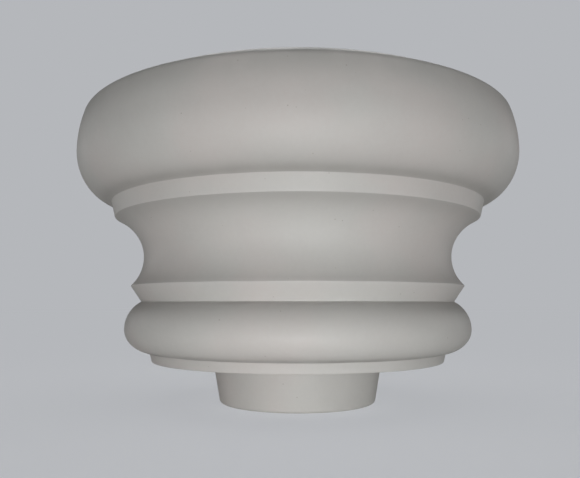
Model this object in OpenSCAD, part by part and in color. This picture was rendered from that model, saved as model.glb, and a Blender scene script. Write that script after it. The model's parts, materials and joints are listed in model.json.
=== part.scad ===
// Squat post insulator: one turned porcelain body with a tapped iron fitting cemented into each end.
// The axis is Z. z = 0 is the bottom rim of the locating spigot, and the seat is the disc above it.

/* [Porcelain: overall] */
// Diameter over the big torus
overall_d = 190; // [186:1:196]
// Height from the spigot's bottom rim to the flat top face
overall_h = 125.5; // [124.5:0.5:127]
// Diameter of the flat top face
top_face_d = 165; // [160:0.5:167]
// Rounding of the flat top face's edge
top_edge_round = 1; // [0.6:0.2:2]

/* [Porcelain: big torus] */
// Height of the torus's widest point
big_belly_z = 104.5; // [103:0.5:106]
// Radius of the torus's flank above its widest point
big_flank_r = 46; // [40:1:50]
// Angle up the flank at which the shoulder starts
shoulder_start = 18.5; // [17:0.5:20]
// Fall of the weathered slope between the top face and the shoulder
weather_slope = 26.5; // [25:0.5:28]
// Radius at which the lower flank's ellipse has its centre
big_centre_r = 77; // [70:0.5:78]

/* [Porcelain: fillet and scotia] */
// Diameter of the fillet's upper crease
fillet_top_d = 161.2; // [160:0.2:164]
// Height of the fillet's upper crease
fillet_top_z = 84.6; // [84:0.1:86]
// Diameter of the fillet's lower edge
fillet_bottom_d = 158.4; // [156:0.2:160]
// Height of the fillet's lower edge
fillet_bottom_z = 78.4; // [77:0.1:79]
// Diameter at the waist of the scotia
waist_d = 133.8; // [130:0.2:136]
// Height of the waist
waist_z = 61.5; // [60:0.5:63]
// Radius at which the upper hollow's ellipse has its centre
upper_hollow_centre_r = 90; // [86:0.5:96]
// Radius at which the lower hollow's ellipse has its centre
lower_hollow_centre_r = 81.5; // [78:0.5:86]

/* [Porcelain: astragal, recess and small torus] */
// Diameter at the astragal's sharp edge
astragal_d = 144; // [142:0.2:146]
// Height of the astragal's edge
astragal_z = 49.6; // [49:0.1:51]
// Diameter at the bottom of the recess
recess_d = 135; // [133:0.5:137]
// Height of the recess
recess_z = 43; // [42.5:0.5:44]
// Diameter over the small torus
small_torus_d = 148.4; // [146:0.2:152]
// Height of the small torus's widest point
small_belly_z = 31.8; // [31:0.2:34]
// Radius at which the small torus's upper ellipse has its centre
small_upper_centre_r = 62; // [58:0.5:63]
// Radius at which the small torus's lower ellipse has its centre
small_lower_centre_r = 62.5; // [60:0.5:63]

/* [Porcelain: seat disc and spigot] */
// Diameter of the crease between the small torus and the disc
disc_top_d = 127.4; // [127:0.2:129]
// Diameter of the seat disc at its lower edge
disc_bottom_d = 125.4; // [120:0.2:126]
// Thickness of the seat disc
disc_h = 4; // [3:0.5:5]
// Height of the spigot under the seat
spigot_h = 18; // [16:0.5:19]
// Diameter of the spigot where it meets the seat
spigot_top_d = 73.6; // [72:0.2:75]
// Diameter of the spigot at its bottom
spigot_bottom_d = 67.2; // [66:0.2:69]
// Rounding of the spigot's bottom edge
spigot_edge_round = 1.5; // [1:0.5:3]

/* [Top fitting] */
// Diameter of the top fitting
top_fitting_d = 106; // [102:1:108]
// Height of the top fitting
top_fitting_h = 26; // [25:1:30]
// How far the fitting stands above the porcelain's top face
top_fitting_proud = 1; // [0.5:0.5:2]
// Pitch circle of the four bolts
bolt_circle_d = 76; // [70:1:78]
// Wall diameter of the M12 holes, the thread's minor diameter
bolt_hole_d = 10.2; // [10:0.1:10.4]
// Depth of the M12 holes
bolt_hole_depth = 20; // [18:1:22]
// Wall diameter of the M16 centre hole, the thread's minor diameter
centre_hole_d = 13.9; // [13.8:0.1:14.2]
// Depth of the M16 centre hole
centre_hole_depth = 21; // [18:1:21]

/* [Bottom fitting] */
// Diameter of the bottom fitting
bottom_fitting_d = 35; // [32:1:36]
// Length of the bottom fitting
bottom_fitting_h = 40; // [36:1:44]
// How far the fitting is set back from the spigot's bottom
bottom_fitting_setback = 1; // [0.5:0.5:2]
// Wall diameter of the M20 hole, the thread's minor diameter
foot_hole_d = 17.3; // [17:0.1:17.6]
// Depth of the M20 hole
foot_hole_depth = 32; // [26:1:33]

/* [Cement, cushions and seals] */
// Thickness of the cement round the top fitting
top_cement_t = 9; // [7:0.5:10]
// Thickness of the cement round the bottom fitting
bottom_cement_t = 6.5; // [5:0.5:7]
// Thickness of the cork cushions
cushion_t = 3; // [2:0.5:4]
// Depth of the sealant beads
seal_t = 3; // [2:0.5:4]
// Sag of the sealant beads between their edges
seal_sag = 0.9; // [0.4:0.1:1.2]

/* [Hidden] */
$fn = 160;
curve_steps = 18;
groove_steps = 6;
// How far a cutting shape runs past the face it cuts
over = 1;
// Chamfers of the cavities' mouths, of the fittings' ends and of the tapped holes' mouths
mouth_chamfer = 1;
fitting_edge = 1;
hole_chamfer = 1.2;
groove_depth = 2;
groove_half_width = 3;
groove_pitch = 9;
// Half the angle at a drill's tip
drill_tip_angle = 59;

belly_r = overall_d / 2;
disc_top_z = spigot_h + disc_h;
top_cavity_r = top_fitting_d / 2 + top_cement_t;
top_fitting_top_z = overall_h + top_fitting_proud;
top_fitting_z = top_fitting_top_z - top_fitting_h;
top_cavity_z = top_fitting_z - cushion_t;
top_seal_z = overall_h - mouth_chamfer - seal_t;
top_groove_z = (top_fitting_z + fitting_edge + top_seal_z) / 2;
bottom_cavity_r = bottom_fitting_d / 2 + bottom_cement_t;
bottom_fitting_top_z = bottom_fitting_setback + bottom_fitting_h;
bottom_cavity_z = bottom_fitting_top_z + cushion_t;
bottom_seal_top_z = bottom_fitting_setback + fitting_edge + seal_t;
bottom_groove_z = (bottom_seal_top_z + bottom_fitting_top_z) / 2;

// Points along an elliptic arc from its widest or narrowest point, belly, to its end. The ellipse's
// centre is at centre_r, level with the belly, so the curve stands vertical where it starts.
function moulding(belly, end, centre_r) =
    let (across = belly[0] - centre_r,
         last = acos((end[0] - centre_r) / across),
         up = (end[1] - belly[1]) / sin(last))
    [for (i = [0 : curve_steps]) let (a = last * i / curve_steps)
        [centre_r + across * cos(a), belly[1] + up * sin(a)]];

// Points along a circular arc between two angles
function arc(centre, r, from, to, steps) =
    [for (i = [0 : steps]) let (a = from + (to - from) * i / steps)
        [centre[0] + r * cos(a), centre[1] + r * sin(a)]];

function reversed(points) = [for (i = [len(points) - 1 : -1 : 0]) points[i]];

// The shoulder's radius is the one that makes it tangent to the flank and to the weathered slope.
flank_centre = [belly_r - big_flank_r, big_belly_z];
slope_normal = 90 - weather_slope;
rim = [top_face_d / 2, overall_h];
rim_reach = (rim[0] - flank_centre[0]) * cos(slope_normal)
          + (rim[1] - flank_centre[1]) * sin(slope_normal);
shoulder_turn = cos(slope_normal - shoulder_start);
shoulder_r = (rim_reach - big_flank_r * shoulder_turn) / (1 - shoulder_turn);
shoulder_centre = flank_centre
    + (big_flank_r - shoulder_r) * [cos(shoulder_start), sin(shoulder_start)];

// The rim's rounding touches the flat top face and the weathered slope.
rim_centre = rim - top_edge_round * [tan(weather_slope / 2), 1];

spigot_taper = atan((spigot_top_d - spigot_bottom_d) / 2 / spigot_h);
spigot_edge_centre = [spigot_bottom_d / 2 + spigot_edge_round
    * (tan(spigot_taper) - 1 / cos(spigot_taper)), spigot_edge_round];

waist = [waist_d / 2, waist_z];
small_belly = [small_torus_d / 2, small_belly_z];
fillet_top = [fillet_top_d / 2, fillet_top_z];
fillet_bottom = [fillet_bottom_d / 2, fillet_bottom_z];
astragal = [astragal_d / 2, astragal_z];
recess = [recess_d / 2, recess_z];
disc_top = [disc_top_d / 2, disc_top_z];

// The porcelain's outline, from the axis at the bottom to the axis at the top
outline = concat(
    [[0, 0]],
    arc(spigot_edge_centre, spigot_edge_round, -90, -spigot_taper, groove_steps),
    [[spigot_top_d / 2, spigot_h], [disc_bottom_d / 2, spigot_h]],
    reversed(moulding(small_belly, disc_top, small_lower_centre_r)),
    moulding(small_belly, recess, small_upper_centre_r),
    reversed(moulding(waist, astragal, lower_hollow_centre_r)),
    moulding(waist, fillet_bottom, upper_hollow_centre_r),
    reversed(moulding([belly_r, big_belly_z], fillet_top, big_centre_r)),
    arc(flank_centre, big_flank_r, 0, shoulder_start, groove_steps),
    arc(shoulder_centre, shoulder_r, shoulder_start, slope_normal, groove_steps),
    arc(rim_centre, top_edge_round, slope_normal, 90, groove_steps),
    [[0, overall_h]]);

// Points up a round wall from low_z to high_z, with two shallow rounded grooves, one either side of
// middle_z, which lock the cement. They are cut outwards where depth is positive, inwards where not.
function grooved_wall(r, low_z, high_z, middle_z, depth) =
    concat([[r, low_z]],
        [for (side = [-1, 1], i = [0 : groove_steps]) let (a = 180 * i / groove_steps)
            [r + depth * sin(a), middle_z + side * groove_pitch / 2 - groove_half_width * cos(a)]],
        [[r, high_z]]);

// Section of a fitting with chamfered ends and a grooved side
function fitting_section(r, low_z, high_z, groove_z) =
    concat([[0, low_z], [r - fitting_edge, low_z]],
        grooved_wall(r, low_z + fitting_edge, high_z - fitting_edge, groove_z, -groove_depth),
        [[r - fitting_edge, high_z], [0, high_z]]);

// A blind tapped hole along -Z from its mouth at the origin, with a chamfered mouth and a drill tip
module tapped_hole(d, depth) {
    rotate_extrude()
        polygon([[0, over], [d / 2 + hole_chamfer + over, over], [d / 2, -hole_chamfer],
                 [d / 2, -depth], [0, -depth - d / 2 / tan(drill_tip_angle)]]);
}

// A ring of sealant between two radii. The open face is hollow by seal_sag, towards low_z.
module seal_ring(inner_r, outer_r, low_z) {
    rotate_extrude()
        polygon(concat([[inner_r, low_z], [outer_r, low_z]],
            [for (i = [0 : curve_steps]) let (t = i / curve_steps)
                [outer_r + (inner_r - outer_r) * t, low_z + seal_t - seal_sag * sin(180 * t)]]));
}

module porcelain_body() {
    color([0.76, 0.75, 0.73])
    rotate_extrude()
        difference() {
            polygon(outline);
            polygon(concat([[0, top_cavity_z]],
                grooved_wall(top_cavity_r, top_cavity_z, overall_h - mouth_chamfer,
                             top_groove_z, groove_depth),
                [[top_cavity_r + mouth_chamfer + over, overall_h + over], [0, overall_h + over]]));
            polygon(concat([[0, -over], [bottom_cavity_r + mouth_chamfer + over, -over]],
                grooved_wall(bottom_cavity_r, mouth_chamfer, bottom_cavity_z,
                             bottom_groove_z, groove_depth),
                [[0, bottom_cavity_z]]));
        }
}

module top_fitting() {
    color([0.62, 0.64, 0.66])
    difference() {
        rotate_extrude()
            polygon(fitting_section(top_fitting_d / 2, top_fitting_z, top_fitting_top_z, top_groove_z));
        for (a = [45 : 90 : 315])
            rotate([0, 0, a])
                translate([bolt_circle_d / 2, 0, top_fitting_top_z])
                    tapped_hole(bolt_hole_d, bolt_hole_depth);
        translate([0, 0, top_fitting_top_z])
            tapped_hole(centre_hole_d, centre_hole_depth);
    }
}

// The cement fills the ring between a cavity and its fitting, beside the cushion and up to the seal.
module top_cement() {
    color([0.72, 0.71, 0.67])
    rotate_extrude()
        polygon(concat([[top_fitting_d / 2, top_cavity_z]],
            grooved_wall(top_cavity_r, top_cavity_z, top_seal_z, top_groove_z, groove_depth),
            reversed(grooved_wall(top_fitting_d / 2, top_fitting_z + fitting_edge, top_seal_z,
                                  top_groove_z, -groove_depth)),
            [[top_fitting_d / 2 - fitting_edge, top_fitting_z], [top_fitting_d / 2, top_fitting_z]]));
}

module top_cushion() {
    color([0.66, 0.47, 0.29])
    translate([0, 0, top_cavity_z])
        cylinder(h = cushion_t, d = top_fitting_d);
}

module top_seal() {
    color([0.33, 0.34, 0.35])
    seal_ring(top_fitting_d / 2, top_cavity_r, top_seal_z);
}

module bottom_fitting() {
    color([0.62, 0.64, 0.66])
    difference() {
        rotate_extrude()
            polygon(fitting_section(bottom_fitting_d / 2, bottom_fitting_setback,
                                    bottom_fitting_top_z, bottom_groove_z));
        translate([0, 0, bottom_fitting_setback])
            mirror([0, 0, 1])
                tapped_hole(foot_hole_d, foot_hole_depth);
    }
}

module bottom_cement() {
    color([0.72, 0.71, 0.67])
    rotate_extrude()
        polygon(concat(
            grooved_wall(bottom_cavity_r, bottom_seal_top_z, bottom_cavity_z,
                         bottom_groove_z, groove_depth),
            [[bottom_fitting_d / 2, bottom_cavity_z], [bottom_fitting_d / 2, bottom_fitting_top_z],
             [bottom_fitting_d / 2 - fitting_edge, bottom_fitting_top_z]],
            reversed(grooved_wall(bottom_fitting_d / 2, bottom_seal_top_z,
                                  bottom_fitting_top_z - fitting_edge,
                                  bottom_groove_z, -groove_depth))));
}

module bottom_cushion() {
    color([0.66, 0.47, 0.29])
    translate([0, 0, bottom_fitting_top_z])
        cylinder(h = cushion_t, d = bottom_fitting_d);
}

module bottom_seal() {
    color([0.33, 0.34, 0.35])
    translate([0, 0, bottom_seal_top_z])
        mirror([0, 0, 1])
            seal_ring(bottom_fitting_d / 2, bottom_cavity_r, 0);
}

porcelain_body();
top_fitting();
top_cement();
top_cushion();
top_seal();
bottom_fitting();
bottom_cement();
bottom_cushion();
bottom_seal();
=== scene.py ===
"""A squat porcelain post insulator: a turned, glazed body with a tapped iron fitting cemented into
each end. The pieces are drawn in millimetres, and MM turns them into metres. The stage, the lights
and the camera are in metres."""

from collections import namedtuple
import json
import math

import bmesh
import bpy
import numpy as np
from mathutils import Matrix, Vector
from mathutils.geometry import delaunay_2d_cdt


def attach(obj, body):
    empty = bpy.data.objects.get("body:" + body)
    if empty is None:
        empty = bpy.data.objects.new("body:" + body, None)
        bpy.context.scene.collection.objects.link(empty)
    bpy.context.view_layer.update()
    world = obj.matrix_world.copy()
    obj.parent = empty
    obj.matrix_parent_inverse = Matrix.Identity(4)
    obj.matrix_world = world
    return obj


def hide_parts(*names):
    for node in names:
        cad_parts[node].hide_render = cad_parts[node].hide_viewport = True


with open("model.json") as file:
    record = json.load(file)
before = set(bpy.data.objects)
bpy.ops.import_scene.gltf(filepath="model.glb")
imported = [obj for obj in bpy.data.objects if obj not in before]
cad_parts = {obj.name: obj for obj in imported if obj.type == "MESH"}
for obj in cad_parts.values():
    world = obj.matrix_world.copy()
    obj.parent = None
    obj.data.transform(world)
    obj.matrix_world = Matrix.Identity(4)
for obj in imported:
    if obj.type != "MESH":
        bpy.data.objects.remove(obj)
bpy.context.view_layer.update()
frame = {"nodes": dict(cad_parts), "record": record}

MM = 0.001
BODY = "root"

# ---------------------------------------------------------------- driving dimensions, as in the CAD

BELLY_R = 95.0
HEIGHT = 125.5
TOP_FACE_R = 82.5
RIM_ROUND = 1.0
BELLY_Z = 104.5
FLANK_R = 46.0
SHOULDER_START = 18.5
WEATHER_SLOPE = 26.5
FLANK_CENTRE_R = 77.0
FILLET_TOP = (80.6, 84.6)
FILLET_BOTTOM = (79.2, 78.4)
WAIST = (66.9, 61.5)
UPPER_HOLLOW_CENTRE_R = 90.0
LOWER_HOLLOW_CENTRE_R = 81.5
ASTRAGAL = (72.0, 49.6)
RECESS = (67.5, 43.0)
SMALL_BELLY = (74.2, 31.8)
SMALL_UPPER_CENTRE_R = 62.0
SMALL_LOWER_CENTRE_R = 62.5
DISC_TOP = (63.7, 22.0)
DISC_BOTTOM = (62.7, 18.0)
SPIGOT_TOP_R = 36.8
SPIGOT_BOTTOM_R = 33.6
SPIGOT_ROUND = 1.5

TOP_FITTING_R = 53.0
TOP_FITTING_Z = (100.5, 126.5)
TOP_CAVITY_R = 62.0
TOP_CAVITY_Z = 97.5
TOP_SEAL_Z = 121.5
BOLT_CIRCLE_R = 38.0
FOOT_FITTING_R = 17.5
FOOT_FITTING_Z = (1.0, 41.0)
FOOT_CAVITY_R = 24.0
FOOT_CAVITY_Z = 44.0
FOOT_SEAL_Z = 5.0
SEAL_DEPTH = 3.0
SEAL_SAG = 0.9
MOUTH_CHAMFER = 1.0
FITTING_EDGE = 1.0
HOLE_CHAMFER = 1.2
GROOVE_DEPTH = 2.0
GROOVE_HALF_WIDTH = 3.0
GROOVE_PITCH = 9.0
DRILL_TIP_ANGLE = 59.0
# The porcelain is turned from this many sections, and glaze eases its corners this far on each side
PORCELAIN_SEGMENTS = 240
GLAZE_EASE = 0.6
TOP_GROOVE_Z = (TOP_FITTING_Z[0] + FITTING_EDGE + TOP_SEAL_Z) / 2
FOOT_GROOVE_Z = (FOOT_SEAL_Z + FOOT_FITTING_Z[1]) / 2

# Radii of a metric thread's root and crest in the wall of its hole, its pitch and the hole's depth.
# The flats at its root and crest are fractions of the pitch.
Thread = namedtuple("Thread", "major minor pitch depth")
M12 = Thread(6.0, 5.1, 1.75, 20.0)
M16 = Thread(8.0, 6.95, 2.0, 21.0)
M20 = Thread(10.0, 8.65, 2.5, 32.0)
ROOT_FLAT = 1 / 8
CREST_FLAT = 1 / 4
ROOT_CLEARANCE = 0.2

# How far wear shows on the arrises, and painted shade round the creases
ARRIS_REACH = 0.8
CREASE_REACH = 2.4
SIDE_SHADE_REACH = 8.0
# Painted shade on the shoulder rises between these heights
SHOULDER_SHADE_Z = (108.0, 121.0)

# Iron is shaded flat across edges that turn by more than this many degrees
IRON_SHARP = 32.0
# Vertices nearer to each other than WELD become one, and a length under NOTHING counts as none
WELD = 0.001
NOTHING = 1e-6


# ---------------------------------------------------------------- outlines, as lists of (radius, z)

def cos(degrees):
    return math.cos(math.radians(degrees))


def sin(degrees):
    return math.sin(math.radians(degrees))


def tan(degrees):
    return math.tan(math.radians(degrees))


def moulding(belly, end, centre_r, steps=48):
    """An elliptic arc from its widest or narrowest point, where it stands vertical, to its end."""
    across = belly[0] - centre_r
    last = math.degrees(math.acos((end[0] - centre_r) / across))
    up = (end[1] - belly[1]) / sin(last)
    angles = [last * i / steps for i in range(steps + 1)]
    return [(centre_r + across * cos(a), belly[1] + up * sin(a)) for a in angles]


def arc(centre, r, start, stop, steps=16):
    """A circular arc between two angles in degrees, from 0 outwards through 90 upwards."""
    angles = [start + (stop - start) * i / steps for i in range(steps + 1)]
    return [(centre[0] + r * cos(a), centre[1] + r * sin(a)) for a in angles]


def shoulder_arcs():
    """The big torus above its belly: flank, shoulder and the rim of the flat top face."""
    centre = (BELLY_R - FLANK_R, BELLY_Z)
    slope_normal = 90 - WEATHER_SLOPE
    reach = (TOP_FACE_R - centre[0]) * cos(slope_normal) + (HEIGHT - centre[1]) * sin(slope_normal)
    turn = cos(slope_normal - SHOULDER_START)
    shoulder_r = (reach - FLANK_R * turn) / (1 - turn)
    inset = FLANK_R - shoulder_r
    shoulder = (centre[0] + inset * cos(SHOULDER_START), centre[1] + inset * sin(SHOULDER_START))
    rim = (TOP_FACE_R - RIM_ROUND * tan(WEATHER_SLOPE / 2), HEIGHT - RIM_ROUND)
    return (arc(centre, FLANK_R, 0, SHOULDER_START)
            + arc(shoulder, shoulder_r, SHOULDER_START, slope_normal)
            + arc(rim, RIM_ROUND, slope_normal, 90))


def grooves(r, depth, middle_z, up):
    """Two rounded cement grooves in a round wall, in order along up, which is 1 or -1."""
    return [(r + depth * sin(a),
             middle_z + up * (side * GROOVE_PITCH / 2 - GROOVE_HALF_WIDTH * cos(a)))
            for side in (-1, 1) for a in range(0, 181, 15)]


def porcelain_outline():
    """The whole section, from the axis in the lower cavity round to the axis in the upper one."""
    taper = math.degrees(math.atan((SPIGOT_TOP_R - SPIGOT_BOTTOM_R) / DISC_BOTTOM[1]))
    edge_r = SPIGOT_BOTTOM_R + SPIGOT_ROUND * (tan(taper) - 1 / cos(taper))
    return ([(0, FOOT_CAVITY_Z), (FOOT_CAVITY_R, FOOT_CAVITY_Z)]
            + grooves(FOOT_CAVITY_R, GROOVE_DEPTH, FOOT_GROOVE_Z, -1)
            + [(FOOT_CAVITY_R, MOUTH_CHAMFER), (FOOT_CAVITY_R + MOUTH_CHAMFER, 0)]
            + arc((edge_r, SPIGOT_ROUND), SPIGOT_ROUND, -90, -taper)
            + [(SPIGOT_TOP_R, DISC_BOTTOM[1]), DISC_BOTTOM]
            + moulding(SMALL_BELLY, DISC_TOP, SMALL_LOWER_CENTRE_R)[::-1]
            + moulding(SMALL_BELLY, RECESS, SMALL_UPPER_CENTRE_R)
            + moulding(WAIST, ASTRAGAL, LOWER_HOLLOW_CENTRE_R)[::-1]
            + moulding(WAIST, FILLET_BOTTOM, UPPER_HOLLOW_CENTRE_R)
            + moulding((BELLY_R, BELLY_Z), FILLET_TOP, FLANK_CENTRE_R)[::-1]
            + shoulder_arcs()
            + [(TOP_CAVITY_R + MOUTH_CHAMFER, HEIGHT), (TOP_CAVITY_R, HEIGHT - MOUTH_CHAMFER)]
            + grooves(TOP_CAVITY_R, GROOVE_DEPTH, TOP_GROOVE_Z, -1)
            + [(TOP_CAVITY_R, TOP_CAVITY_Z), (0, TOP_CAVITY_Z)])


def softened(points, reach, spacing=0.1):
    """The same outline with every corner eased over about reach, as glaze leaves it: points at even
    spacing are averaged with their neighbours, and mirrored beyond the ends so that those stay."""
    points = np.array(points, float)
    steps = np.hypot(*np.diff(points, axis=0).T)
    keep = np.concatenate([[True], steps > NOTHING])
    points = points[keep]
    along = np.concatenate([[0], np.cumsum(np.hypot(*np.diff(points, axis=0).T))])
    fine = np.linspace(0, along[-1], int(along[-1] / spacing) + 1)
    fine_points = np.stack([np.interp(fine, along, points[:, i]) for i in (0, 1)], 1)
    half = int(round(reach / spacing))
    kernel = np.hanning(2 * half + 3)[1:-1]
    kernel /= kernel.sum()
    padded = np.concatenate([
        2 * fine_points[0] - fine_points[half:0:-1],
        fine_points,
        2 * fine_points[-1] - fine_points[-2:-half - 2:-1]])
    eased = np.stack([np.convolve(padded[:, i], kernel, "valid") for i in (0, 1)], 1)
    eased[:, 0] = np.maximum(eased[:, 0], 0)
    return eased


def thinned(points, turn=3.0, longest=3.0):
    """Drops the points that a fine outline doesn't need: it keeps one each time the line has turned
    by turn degrees or run on by longest."""
    kept = [points[0]]
    direction = points[1] - points[0]
    for i in range(1, len(points) - 1):
        ahead = points[i + 1] - points[i]
        bend = math.atan2(direction[0] * ahead[1] - direction[1] * ahead[0], direction @ ahead)
        if abs(math.degrees(bend)) >= turn or math.dist(points[i], kept[-1]) >= longest:
            kept.append(points[i])
            direction = ahead
    return kept + [points[-1]]


# ---------------------------------------------------------------- shapes: (vertices, faces) pairs

def turned(outline, segments, ring=False):
    """Turns an outline about the Z axis. It's a list, or a function from an angle to a list. A ring's
    outline is closed. Points on the axis become one vertex."""
    sections = [outline(360 * k / segments) if callable(outline) else outline
                for k in range(segments)]
    vertices = []
    rows = []
    for points in zip(*sections):
        if points[0][0] < NOTHING:
            rows.append([len(vertices)] * segments)
            vertices.append((0, 0, points[0][1]))
            continue
        rows.append(range(len(vertices), len(vertices) + segments))
        for k, (r, z) in enumerate(points):
            a = 360 * k / segments
            vertices.append((r * cos(a), r * sin(a), z))
    faces = []
    pairs = list(zip(rows, rows[1:] + rows[:1])) if ring else list(zip(rows, rows[1:]))
    for low, high in pairs:
        for k in range(segments):
            n = (k + 1) % segments
            corners = [low[k], low[n], high[n], high[k]]
            corners = [c for i, c in enumerate(corners) if c != corners[i - 1]]
            if len(corners) > 2:
                faces.append(corners)
    return vertices, faces


def joined(*shapes):
    vertices = []
    faces = []
    for more_vertices, more_faces in shapes:
        first = len(vertices)
        vertices += more_vertices
        faces += [[first + c for c in face] for face in more_faces]
    return vertices, faces


def make_mesh(name, shape, sharp_angle=180.0):
    """Makes a piece from a shape: welds its seams, turns its faces outwards and shades it smooth
    except across edges that turn by more than sharp_angle."""
    vertices, faces = shape
    mesh = bpy.data.meshes.new(name)
    mesh.from_pydata([tuple(c * MM for c in v) for v in vertices], [], faces)
    form = bmesh.new()
    form.from_mesh(mesh)
    bmesh.ops.remove_doubles(form, verts=form.verts, dist=WELD * MM)
    bmesh.ops.dissolve_degenerate(form, edges=form.edges, dist=WELD * MM)
    bmesh.ops.recalc_face_normals(form, faces=form.faces)
    form.to_mesh(mesh)
    form.free()
    mesh.polygons.foreach_set("use_smooth", [True] * len(mesh.polygons))
    mesh.set_sharp_from_angle(angle=math.radians(sharp_angle))
    piece = bpy.data.objects.new(name, mesh)
    bpy.context.collection.objects.link(piece)
    return piece


def circle(centre, r, count):
    return [(centre[0] + r * cos(360 * k / count), centre[1] + r * sin(360 * k / count))
            for k in range(count)]


def plate(outer_r, outer_count, holes, hole_count, z):
    """A flat face at z between a circle about the axis and the mouths of the holes in it."""
    loops = [circle((0, 0), outer_r, outer_count)]
    loops += [circle(place, mouth_r(thread), hole_count) for place, thread in holes]
    points = []
    edges = []
    for loop in loops:
        first = len(points)
        edges += [(first + k, first + (k + 1) % len(loop)) for k in range(len(loop))]
        points += [Vector(p) for p in loop]
    inside_outline = 1
    closeness = 1e-5
    points, _, triangles, *_ = delaunay_2d_cdt(points, edges, [], inside_outline, closeness)
    faces = []
    for triangle in triangles:
        middle = sum((points[c] for c in triangle), Vector((0, 0))) / 3
        if all((middle - Vector(place)).length > mouth_r(thread) * cos(180 / hole_count)
               for place, thread in holes):
            faces.append(list(triangle))
    return [(p.x, p.y, z) for p in points], faces


def mouth_r(thread):
    """Radius of a tapped hole's chamfer at the face, always clear of the thread's root."""
    return max(thread.minor + HOLE_CHAMFER, thread.major + ROOT_CLEARANCE)


def tapped_wall(place, thread, mouth_z, inward, segments, rows_per_turn=16):
    """Wall of a blind right-hand tapped hole. Its rows of vertices run along the helix, so each one
    keeps to the same place on the thread. The chamfer cuts into the turns at the mouth, and the
    thread fades out in its last turn above the drilled point."""
    threaded = thread.depth - thread.pitch
    turns = math.ceil(threaded / thread.pitch) + 1
    vertices = []
    rows = []

    def add_row(points):
        rows.append(range(len(vertices), len(vertices) + len(points)))
        for k, (r, deep) in enumerate(points):
            a = 360 * k / segments
            vertices.append((place[0] + r * cos(a), place[1] + r * sin(a), mouth_z + inward * deep))

    for row in range(-rows_per_turn, turns * rows_per_turn + 1):
        from_root = abs(2 * ((row / rows_per_turn) % 1) - 1)
        groove = min(max((1 - CREST_FLAT - from_root) / (1 - CREST_FLAT - ROOT_FLAT), 0), 1)
        points = []
        for k in range(segments + 1):
            deep = thread.pitch * (row / rows_per_turn + inward * k / segments)
            deep = min(max(deep, 0), threaded)
            fade = min((threaded - deep) / thread.pitch, 1)
            r = thread.minor + (thread.major - thread.minor) * groove * fade
            points.append((max(r, mouth_r(thread) - deep), deep))
        add_row(points)
    tip = thread.depth + thread.minor / tan(DRILL_TIP_ANGLE)
    add_row([(thread.minor, thread.depth)] * (segments + 1))
    add_row([(0, tip)] * (segments + 1))
    faces = [[low[k], low[k + 1], high[k + 1], high[k]]
             for low, high in zip(rows, rows[1:]) for k in range(segments)]
    return vertices, faces


def fitting_shape(r, mouth_z, far_z, groove_z, holes, segments=192, hole_segments=48):
    """A round fitting with a rounded edge at its mouth end, two cement grooves and tapped holes."""
    inward = 1 if far_z > mouth_z else -1
    edge = [(r - FITTING_EDGE * (1 - sin(a)), mouth_z + inward * FITTING_EDGE * (1 - cos(a)))
            for a in range(0, 91, 15)]
    end = [(r, far_z - inward * FITTING_EDGE), (r - FITTING_EDGE, far_z), (0, far_z)]
    return joined(
        turned(edge + grooves(r, -GROOVE_DEPTH, groove_z, inward) + end, segments),
        plate(r - FITTING_EDGE, segments, holes, hole_segments, mouth_z),
        *[tapped_wall(place, thread, mouth_z, inward, hole_segments) for place, thread in holes])


def bead_shape(inner_r, outer_r, back_z, outward, join_angle, segments=360, steps=14):
    """A ring of sealant laid by hand: hollow across, uneven along, wetting both walls, and lumpy
    where its two ends meet at join_angle."""
    wall_climb = 0.25
    outer_bite = 0.6
    inner_bite = 0.05
    lump_width = 4
    dip_place = 9

    def section(a):
        off_join = (a - join_angle + 180) % 360 - 180
        lump = (0.4 * math.exp(-(off_join / lump_width) ** 2)
                - 0.2 * math.exp(-((off_join - dip_place) / lump_width) ** 2))
        swell = 1 + 0.18 * sin(5 * a + 70) + 0.1 * sin(13 * a)
        face = []
        for i in range(steps + 1):
            t = i / steps
            across = sin(180 * t)
            ripple = 0.05 * sin(23 * a + 160 * t) + 0.04 * sin(47 * a - 90 * t)
            height = SEAL_DEPTH - (SEAL_SAG * swell - lump - ripple) * across
            height += wall_climb * (1 - across) ** 2
            r = outer_r + outer_bite - (outer_r + outer_bite - inner_r + inner_bite) * t
            face.append((r, back_z + outward * height))
        return [(inner_r, back_z), (outer_r, back_z)] + face

    return turned(section, segments, ring=True)


# ---------------------------------------------------------------- materials

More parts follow.
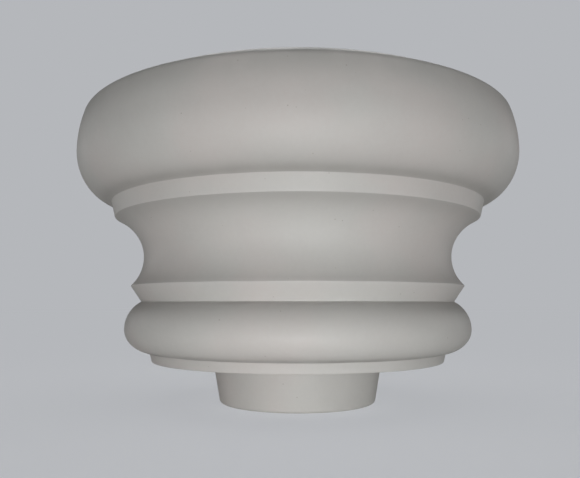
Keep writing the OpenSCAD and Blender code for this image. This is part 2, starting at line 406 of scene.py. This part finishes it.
class Material:
    """A node material with one Principled shader, built up by short calls."""

    def __init__(self, name, colour, roughness, **sockets):
        self.data = bpy.data.materials.new(name)
        self.data.use_nodes = True
        self.tree = self.data.node_tree
        self.shader = self.tree.nodes["Principled BSDF"]
        self.shader.inputs["Base Color"].default_value = (*colour, 1)
        self.shader.inputs["Roughness"].default_value = roughness
        for socket, value in sockets.items():
            self.shader.inputs[socket.replace("_", " ")].default_value = value
        self.place = self.node("TexCoord").outputs["Object"]

    def node(self, kind, **settings):
        made = self.tree.nodes.new("ShaderNode" + kind)
        for name, value in settings.items():
            setattr(made, name, value)
        return made

    def feed(self, socket, value):
        if hasattr(value, "links"):
            self.tree.links.new(value, socket)
        else:
            socket.default_value = value

    def noise(self, size, detail=2.0, roughness=0.5):
        """Noise whose features are about size millimetres across."""
        made = self.node("TexNoise")
        self.feed(made.inputs["Vector"], self.place)
        made.inputs["Scale"].default_value = 1 / (size * MM)
        made.inputs["Detail"].default_value = detail
        made.inputs["Roughness"].default_value = roughness
        return made.outputs["Fac"]

    def cells(self, size, feature="F1"):
        """Voronoi cells about size millimetres across."""
        made = self.node("TexVoronoi", feature=feature)
        self.feed(made.inputs["Vector"], self.place)
        made.inputs["Scale"].default_value = 1 / (size * MM)
        return made.outputs

    def cell_value(self, cells):
        """One random number from 0 to 1 for each cell."""
        made = self.node("SeparateColor")
        self.feed(made.inputs[0], cells["Color"])
        return made.outputs[0]

    def maths(self, operation, a, b=0.0):
        made = self.node("Math", operation=operation)
        self.feed(made.inputs[0], a)
        self.feed(made.inputs[1], b)
        return made.outputs[0]

    def spread(self, value, low, high, to_low=0.0, to_high=1.0):
        """Maps low..high to to_low..to_high with soft ends, and holds it there outside."""
        made = self.node("MapRange", interpolation_type="SMOOTHSTEP")
        self.feed(made.inputs["Value"], value)
        for name, number in zip(("From Min", "From Max", "To Min", "To Max"),
                                (low, high, to_low, to_high)):
            made.inputs[name].default_value = number
        return made.outputs["Result"]

    def blend(self, factor, a, b):
        made = self.node("Mix", data_type="FLOAT")
        for socket, value in zip(made.inputs[:1] + made.inputs[2:4], (factor, a, b)):
            self.feed(socket, value)
        return made.outputs[0]

    def mix(self, factor, a, b):
        made = self.node("Mix", data_type="RGBA")
        self.feed(made.inputs["Factor"], factor)
        for socket, colour in ((made.inputs[6], a), (made.inputs[7], b)):
            self.feed(socket, colour if hasattr(colour, "links") else (*colour, 1))
        return made.outputs[2]

    def height(self):
        """Height above the frame's origin in metres."""
        made = self.node("SeparateXYZ")
        self.feed(made.inputs[0], self.place)
        return made.outputs["Z"]

    def radius(self):
        """Distance from the vertical axis in metres."""
        flat = self.node("VectorMath", operation="MULTIPLY")
        self.feed(flat.inputs[0], self.place)
        flat.inputs[1].default_value = (1, 1, 0)
        length = self.node("VectorMath", operation="LENGTH")
        self.feed(length.inputs[0], flat.outputs[0])
        return length.outputs["Value"]

    def below(self, value, edge, ragged=0.0):
        """1 where value, in metres, is under edge millimetres and 0 over it, along a line that noise
        makes ragged."""
        soft = 0.15
        wander = self.spread(self.noise(2.5, 3), 0.3, 0.7, -ragged * MM, ragged * MM)
        value = self.maths("ADD", value, wander)
        return self.spread(value, (edge - soft) * MM, (edge + soft) * MM, 1.0, 0.0)

    def attribute(self, name):
        """The mark of that name, which mark_near stores."""
        return self.node("Attribute", attribute_name=name).outputs["Fac"]

    def colour(self, value):
        self.feed(self.shader.inputs["Base Color"], value)

    def roughness(self, value):
        self.feed(self.shader.inputs["Roughness"], value)

    def bump(self, height, depth, onto=None):
        """Raises the surface where height is 1 over where it is 0, by depth millimetres."""
        made = self.node("Bump")
        made.inputs["Distance"].default_value = depth * MM
        made.inputs["Strength"].default_value = 1.0
        self.feed(made.inputs["Height"], height)
        if onto:
            self.feed(made.inputs["Normal"], onto)
        self.feed(self.shader.inputs["Normal"], made.outputs[0])
        return made.outputs[0]


def porcelain_material():
    """Satin grey-white glaze, faintly clouded pink and green, worn pale on its arrises, with painted
    shade round its creases and on its shoulder. It's bare biscuit where it's cemented."""
    pink = (0.627, 0.594, 0.572)
    green = (0.606, 0.600, 0.577)
    shaded = (0.565, 0.555, 0.535)
    milky = (0.64, 0.632, 0.612)
    worn = (0.665, 0.652, 0.635)
    # The next three tones are painted shade: off the creases, beside them and on the shoulder
    painted_crease_tone = (0.455, 0.44, 0.42)
    painted_side_tone = (0.40, 0.39, 0.372)
    painted_shoulder_tone = (0.49, 0.485, 0.465)
    speck = (0.27, 0.24, 0.20)
    biscuit_dark = (0.58, 0.555, 0.51)
    biscuit_pale = (0.70, 0.68, 0.635)
    shade_from, shade_to = SHOULDER_SHADE_Z

    m = Material("glazed_porcelain", (0.60, 0.59, 0.57), 0.4, IOR=1.5)
    glaze = m.mix(m.spread(m.noise(46, 3), 0.38, 0.62), pink, green)
    glaze = m.mix(m.spread(m.noise(17, 4, 0.55), 0.3, 0.7, 0.0, 0.35), glaze, shaded)
    glaze = m.mix(m.spread(m.noise(1.6, 3, 0.6), 0.35, 0.7, 0.0, 0.22), glaze, milky)
    glaze = m.mix(m.maths("MULTIPLY", m.attribute("arris"), 0.3), glaze, worn)
    # Painted shade on the tori just off their creases, in soft patches
    painted_crease_shade = m.maths("MULTIPLY", m.attribute("crease"), m.spread(m.noise(8, 3), 0.2, 0.7, 0.55, 0.9))
    glaze = m.mix(painted_crease_shade, glaze, painted_crease_tone)
    # Painted shade, wide and soft, beside the creases
    glaze = m.mix(m.maths("MULTIPLY", m.attribute("dust_and_painted_shade"), 0.55), glaze, painted_side_tone)
    # Painted shade on the shoulder, darker towards the top, in patches
    painted_shoulder_shade = m.maths("MULTIPLY", m.spread(m.height(), shade_from * MM, shade_to * MM),
                   m.spread(m.noise(22, 4, 0.55), 0.3, 0.65, 0.4, 0.85))
    glaze = m.mix(painted_shoulder_shade, glaze, painted_shoulder_tone)

    speck_cells = m.cells(2.6)
    rare = m.spread(m.cell_value(speck_cells), 0.86, 0.88)
    specks = m.maths("MULTIPLY", m.spread(speck_cells["Distance"], 0.05, 0.10, 1.0, 0.0), rare)
    glaze = m.mix(m.maths("MULTIPLY", specks, 0.55), glaze, speck)

    foot = m.below(m.height(), 0.3, 0.2)
    foot_cavity = m.below(m.radius(), FOOT_CAVITY_R + MOUTH_CHAMFER + 0.6, 0.4)
    in_top_mouth = m.below(m.radius(), TOP_CAVITY_R + MOUTH_CHAMFER + 0.9, 0.5)
    high = m.spread(m.height(), (TOP_CAVITY_Z - 1.5) * MM, (TOP_CAVITY_Z - 1.0) * MM)
    bare = m.maths("MAXIMUM", m.maths("MAXIMUM", foot, foot_cavity),
                   m.maths("MULTIPLY", in_top_mouth, high))
    grain = m.noise(0.35, 4, 0.7)
    m.colour(m.mix(bare, glaze, m.mix(grain, biscuit_dark, biscuit_pale)))

    satin = m.spread(m.noise(11, 4, 0.6), 0.3, 0.7, 0.50, 0.60)
    m.roughness(m.blend(bare, satin, 0.88))
    orange_peel = m.bump(m.noise(4.5, 2), 0.014)
    fine_skin = m.bump(m.noise(0.9, 2), 0.0022, orange_peel)
    pinhole_cells = m.cells(3.4)
    few = m.spread(m.cell_value(pinhole_cells), 0.78, 0.8)
    pinholes = m.maths("MULTIPLY", m.spread(pinhole_cells["Distance"], 0.03, 0.08, 1.0, 0.0), few)
    skin = m.bump(m.maths("SUBTRACT", 1.0, pinholes), 0.03, fine_skin)
    m.bump(m.maths("MULTIPLY", grain, bare), 0.06, skin)
    return m.data


def iron_material():
    """Hot-dip galvanised cast iron: faint crystals, dull patches and turned faces."""
    m = Material("galvanised_iron", (0.5, 0.51, 0.52), 0.45, Metallic=0.6)
    crystals = m.cell_value(m.cells(5.5))
    zinc = m.mix(crystals, (0.47, 0.48, 0.49), (0.60, 0.61, 0.62))
    dull = m.spread(m.noise(14, 5, 0.6), 0.46, 0.62)
    zinc = m.mix(m.maths("MULTIPLY", dull, 0.45), zinc, (0.45, 0.46, 0.47))
    stain = m.spread(m.noise(3.0, 5, 0.65), 0.62, 0.72)
    m.colour(m.mix(m.maths("MULTIPLY", stain, 0.35), zinc, (0.30, 0.27, 0.23)))
    rough = m.spread(crystals, 0.0, 1.0, 0.46, 0.53)
    m.roughness(m.blend(dull, rough, 0.58))
    wobble = m.maths("MULTIPLY", m.noise(8, 2), 0.4 * MM)
    turns = m.maths("SINE", m.maths("MULTIPLY", m.maths("ADD", m.radius(), wobble),
                                    2 * math.pi / (0.9 * MM)))
    marks = m.bump(turns, 0.006)
    cast_skin = m.bump(m.noise(0.6, 4, 0.6), 0.02, marks)
    m.bump(m.noise(6, 3), 0.05, cast_skin)
    return m.data


def cement_material():
    """Grey Portland cement with pale sand grains and open pores."""
    m = Material("cement", (0.45, 0.44, 0.40), 0.92)
    paste = m.mix(m.noise(7, 5, 0.6), (0.36, 0.355, 0.33), (0.50, 0.49, 0.45))
    sand_cells = m.cells(1.1)
    sand = m.spread(sand_cells["Distance"], 0.18, 0.34, 1.0, 0.0)
    some = m.spread(m.cell_value(sand_cells), 0.45, 0.55)
    grains = m.maths("MULTIPLY", sand, some)
    m.colour(m.mix(m.maths("MULTIPLY", grains, 0.7), paste, (0.62, 0.58, 0.50)))
    m.roughness(m.spread(m.noise(2, 3), 0.3, 0.7, 0.84, 0.97))
    pores = m.spread(m.cells(2.3)["Distance"], 0.08, 0.20)
    rough = m.bump(m.noise(0.7, 5, 0.7), 0.12)
    m.bump(pores, 0.25, m.bump(grains, 0.08, rough))
    return m.data


def cork_material():
    """Pressed cork: pale and dark granules with fine gaps between them."""
    m = Material("cork", (0.42, 0.24, 0.11), 0.9)
    granules = m.cells(1.9)
    bark = m.mix(m.cell_value(granules), (0.33, 0.18, 0.08), (0.58, 0.37, 0.19))
    bark = m.mix(m.maths("MULTIPLY", m.noise(0.5, 3), 0.4), bark, (0.24, 0.13, 0.06))
    gaps = m.spread(m.cells(1.9, "DISTANCE_TO_EDGE")["Distance"], 0.0, 0.09, 1.0, 0.0)
    m.colour(m.mix(m.maths("MULTIPLY", gaps, 0.75), bark, (0.10, 0.05, 0.025)))
    m.roughness(m.spread(m.noise(1.2, 3), 0.3, 0.7, 0.82, 0.95))
    m.bump(m.maths("SUBTRACT", 1.0, gaps), 0.15, m.bump(m.noise(0.5, 3), 0.06))
    return m.data


def sealant_material():
    """Dark grey silicone sealant, rubbed dull and a little dusty."""
    m = Material("sealant", (0.11, 0.112, 0.116), 0.5, IOR=1.48)
    # On the sealant this mask is real dust
    dust_and_painted_shade = m.spread(m.noise(5, 5, 0.65), 0.42, 0.68, 0.0, 0.5)
    m.colour(m.mix(dust_and_painted_shade, (0.10, 0.102, 0.106), (0.30, 0.295, 0.28)))
    m.roughness(m.blend(dust_and_painted_shade, 0.40, 0.78))
    pulls = m.bump(m.noise(1.8, 3), 0.05)
    m.bump(m.noise(0.3, 3, 0.6), 0.008, pulls)
    return m.data


# ---------------------------------------------------------------- the visible pieces

materials = {
    "glazed_porcelain": porcelain_material(),
    "galvanised_iron": iron_material(),
    "cement": cement_material(),
    "cork": cork_material(),
    "sealant": sealant_material(),
}


def finish_piece(piece, slot, *nodes):
    """Gives a piece its material and body, and hides the CAD nodes it stands for."""
    piece.data.materials.append(materials[slot])
    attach(piece, BODY)
    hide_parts(*nodes)


def mark_near(piece, name, corners, reach):
    """Stores on each vertex how near it is to a corner circle: 1 on it, falling away over about
    reach. A corner's third value, if it has one, keeps the mark to what is above the corner, for 1,
    or below it, for -1."""
    mesh = piece.data
    places = np.empty(3 * len(mesh.vertices))
    mesh.vertices.foreach_get("co", places)
    places = places.reshape(-1, 3) / MM
    section = np.stack([np.hypot(places[:, 0], places[:, 1]), places[:, 2]], 1)
    near = np.zeros(len(section))
    for r, z, *side in corners:
        mark = np.exp(-((section[:, 0] - r) ** 2 + (section[:, 1] - z) ** 2) / reach ** 2)
        if side:
            mark[(section[:, 1] - z) * side[0] < 0] = 0
        near = np.maximum(near, mark)
    mesh.attributes.new(name, "FLOAT", "POINT").data.foreach_set("value", near)


def make_porcelain():
    """Turns the body, and marks painted shade just off its creases and, wider, beside them."""
    outline = thinned(softened(porcelain_outline(), GLAZE_EASE))
    piece = make_mesh("porcelain", turned(outline, PORCELAIN_SEGMENTS))
    over_disc = (DISC_TOP[0] + 2.6, DISC_TOP[1] + 0.4)
    over_fillet = (FILLET_TOP[0] + 2.2, FILLET_TOP[1] + 1.6)
    # The sides of the creases that take the wide painted shade
    painted_shade_sides = [(*FILLET_TOP, 1), (*FILLET_BOTTOM, -1), (*RECESS, -1)]
    mark_near(piece, "arris", [DISC_BOTTOM, ASTRAGAL, FILLET_BOTTOM], ARRIS_REACH)
    # These two marks carry painted shade
    mark_near(piece, "crease", [over_disc, over_fillet], CREASE_REACH)
    mark_near(piece, "dust_and_painted_shade", painted_shade_sides, SIDE_SHADE_REACH)
    finish_piece(piece, "glazed_porcelain", "porcelain_body")


def make_top_fitting():
    bolts = [((BOLT_CIRCLE_R * cos(a), BOLT_CIRCLE_R * sin(a)), M12) for a in range(45, 360, 90)]
    low, high = TOP_FITTING_Z
    shape = fitting_shape(TOP_FITTING_R, high, low, TOP_GROOVE_Z, bolts + [((0, 0), M16)])
    finish_piece(make_mesh("top_plate", shape, IRON_SHARP), "galvanised_iron", "top_fitting")


def make_foot_fitting():
    low, high = FOOT_FITTING_Z
    shape = fitting_shape(FOOT_FITTING_R, low, high, FOOT_GROOVE_Z, [((0, 0), M20)], segments=96)
    finish_piece(make_mesh("foot_socket", shape, IRON_SHARP), "galvanised_iron", "bottom_fitting")


def make_beads():
    top = bead_shape(TOP_FITTING_R, TOP_CAVITY_R, TOP_SEAL_Z, 1, 200)
    finish_piece(make_mesh("top_bead", top), "sealant", "top_seal")
    foot = bead_shape(FOOT_FITTING_R, FOOT_CAVITY_R, FOOT_SEAL_Z, -1, 60, segments=180)
    finish_piece(make_mesh("foot_bead", foot), "sealant", "bottom_seal")


def dress_cad_nodes():
    """Gives each CAD node its material. The cement and the cushions show as they are."""
    for entry in frame["record"]["subparts"]:
        node = frame["nodes"][entry["node"]]
        node.data.materials.clear()
        node.data.materials.append(materials[entry["material_slot"]])


dress_cad_nodes()
make_porcelain()
make_top_fitting()
make_foot_fitting()
make_beads()


# ---------------------------------------------------------------- stage, lights and camera

BACKDROP = (0.462, 0.474, 0.497)
AMBIENT = 0.03
GLOSS_SKY = 0.125
OVERHEAD = 0.5
FLOOR_TONE = 0.72
FLOOR_GLOW = 0.05
# How much of the lit floor the camera sees through the backdrop's own tone
FLOOR_SHOWN = 0.5
FLOOR_HALF = 4.0
# The floor lies a hair below the foot, so that the two faces don't fight
FLOOR_Z = -0.00005
# Gloss sees the sky brighten between these heights above the horizon, in degrees
SKY_RISE = (8, 40)
CAMERA_LENS = 38.5
CAMERA_PLACE = (0, -0.2775, 0.0419)
CAMERA_PITCH = 6.01
CAMERA_YAW = 0.665


def make_floor():
    """A pale floor. The camera sees it through the backdrop's tone, so that the two meet without a
    horizon and the floor still takes a soft shadow. From below, it's clear."""
    corners = [(x * FLOOR_HALF, y * FLOOR_HALF, FLOOR_Z)
               for x, y in ((-1, -1), (1, -1), (1, 1), (-1, 1))]
    mesh = bpy.data.meshes.new("floor")
    mesh.from_pydata(corners, [], [(0, 1, 2, 3)])
    floor = bpy.data.objects.new("floor", mesh)
    bpy.context.collection.objects.link(floor)
    m = Material("floor", (FLOOR_TONE, FLOOR_TONE, FLOOR_TONE), 0.9)
    m.shader.inputs["Specular IOR Level"].default_value = 0.0
    m.shader.inputs["Emission Color"].default_value = (1, 1, 1, 1)
    m.shader.inputs["Emission Strength"].default_value = FLOOR_GLOW
    # The open floor has this tone, and plain makes up the difference from it to the backdrop
    open_tone = FLOOR_GLOW + FLOOR_TONE * (AMBIENT + OVERHEAD / math.pi)
    plain = m.node("Emission")
    plain.inputs["Color"].default_value = (
        *[(c - FLOOR_SHOWN * open_tone) / (1 - FLOOR_SHOWN) for c in BACKDROP], 1)
    seen = m.node("LightPath").outputs["Is Camera Ray"]
    both = m.node("MixShader")
    m.feed(both.inputs[0], m.maths("MULTIPLY", seen, 1 - FLOOR_SHOWN))
    m.feed(both.inputs[1], m.shader.outputs[0])
    m.feed(both.inputs[2], plain.outputs[0])
    one_sided = m.node("MixShader")
    m.feed(one_sided.inputs[0], m.node("NewGeometry").outputs["Backfacing"])
    m.feed(one_sided.inputs[1], both.outputs[0])
    m.feed(one_sided.inputs[2], m.node("BsdfTransparent").outputs[0])
    m.feed(m.tree.nodes["Material Output"].inputs["Surface"], one_sided.outputs[0])
    mesh.materials.append(m.data)
    return floor


def make_world():
    """The camera sees a plain backdrop, gloss reflects a sky that is bright overhead and dim near
    the floor, and the rest gets a faint even light."""
    world = bpy.data.worlds.new("studio")
    bpy.context.scene.world = world
    world.use_nodes = True
    tree = world.node_tree

    def node(kind, **inputs):
        made = tree.nodes.new("ShaderNode" + kind)
        for name, value in inputs.items():
            socket = made.inputs[name.replace("_", " ")]
            if hasattr(value, "links"):
                tree.links.new(value, socket)
            else:
                socket.default_value = value
        return made

    path = node("LightPath").outputs
    up = node("SeparateXYZ", Vector=node("TexCoord").outputs["Generated"]).outputs["Z"]
    low, high = SKY_RISE
    rise = node("MapRange", Value=up, From_Min=sin(low), From_Max=sin(high), To_Min=AMBIENT,
                To_Max=GLOSS_SKY)
    rise.interpolation_type = "SMOOTHSTEP"
    even = node("Background", Strength=AMBIENT)
    sky = node("Background", Strength=rise.outputs["Result"])
    for light in (even, sky):
        light.inputs["Color"].default_value = (1, 1, 1, 1)
    plain = node("Background", Color=(*BACKDROP, 1), Strength=1.0)
    last = even
    for ray, light in (("Is Glossy Ray", sky), ("Is Camera Ray", plain)):
        both = tree.nodes.new("ShaderNodeMixShader")
        for socket, value in zip(both.inputs, (path[ray], last.outputs[0], light.outputs[0])):
            tree.links.new(value, socket)
        last = both
    tree.links.new(last.outputs[0], tree.nodes["World Output"].inputs["Surface"])


def all_but(thing):
    """A light linking collection that leaves one object out."""
    rest = bpy.data.collections.new("off_floor")
    rest.objects.link(thing)
    rest.collection_objects[0].light_linking.link_state = "EXCLUDE"
    return rest


def area_light(name, linked, azimuth, distance, height, size, power, target_z):
    """A soft panel at an azimuth from the camera's side, which faces the axis at target_z. It lights,
    and is shaded by, only what is linked, and the camera doesn't see it."""
    data = bpy.data.lights.new(name, "AREA")
    data.shape = "RECTANGLE"
    data.size, data.size_y = size
    data.energy = power
    light = bpy.data.objects.new(name, data)
    bpy.context.collection.objects.link(light)
    light.visible_camera = False
    light.light_linking.receiver_collection = linked
    light.light_linking.blocker_collection = linked
    place = Vector((distance * sin(azimuth), -distance * cos(azimuth), height))
    light.location = place
    light.rotation_euler = (Vector((0, 0, target_z)) - place).to_track_quat("-Z", "Y").to_euler()


def make_lights(off_floor):
    """Two low panels in front, one low behind, two pairs at the sides, and light from above. The
    panels shine through the floor without lighting it."""
    area_light("key", off_floor, azimuth=4, distance=0.45, height=-0.07, size=(0.2, 0.05),
               power=0.42, target_z=0.06)
    area_light("foot_key", off_floor, azimuth=0, distance=0.25, height=-0.02, size=(0.1, 0.03),
               power=0.12, target_z=0.02)
    area_light("back_key", off_floor, azimuth=180, distance=0.45, height=-0.05, size=(0.2, 0.05),
               power=0.8, target_z=0.06)
    for side in (-1, 1):
        area_light(f"side_{side}", off_floor, azimuth=50 * side, distance=0.6, height=0.1,
                   size=(0.2, 0.2), power=0.32, target_z=0.08)
        area_light(f"flank_{side}", off_floor, azimuth=115 * side, distance=0.77, height=0.2,
                   size=(0.3, 0.3), power=0.4, target_z=0.06)
    area_light("top", off_floor, azimuth=180, distance=1.0, height=0.9, size=(1.0, 0.6),
               power=5.0, target_z=0.12)
    overhead = bpy.data.lights.new("overhead", "SUN")
    overhead.energy = OVERHEAD
    overhead.angle = math.radians(80)
    bpy.context.collection.objects.link(bpy.data.objects.new("overhead", overhead))


def make_camera():
    """A close camera that looks a little upwards from below the rim."""
    data = bpy.data.cameras.new("camera")
    data.sensor_width = 36
    data.lens = CAMERA_LENS
    data.clip_start = 0.01
    camera = bpy.data.objects.new("camera", data)
    bpy.context.collection.objects.link(camera)
    camera.location = CAMERA_PLACE
    camera.rotation_euler = (math.radians(90 + CAMERA_PITCH), 0, math.radians(CAMERA_YAW))
    bpy.context.scene.camera = camera


make_world()
make_lights(all_but(make_floor()))
make_camera()

scene = bpy.context.scene
scene.view_settings.view_transform = "Standard"
scene.view_settings.look = "None"
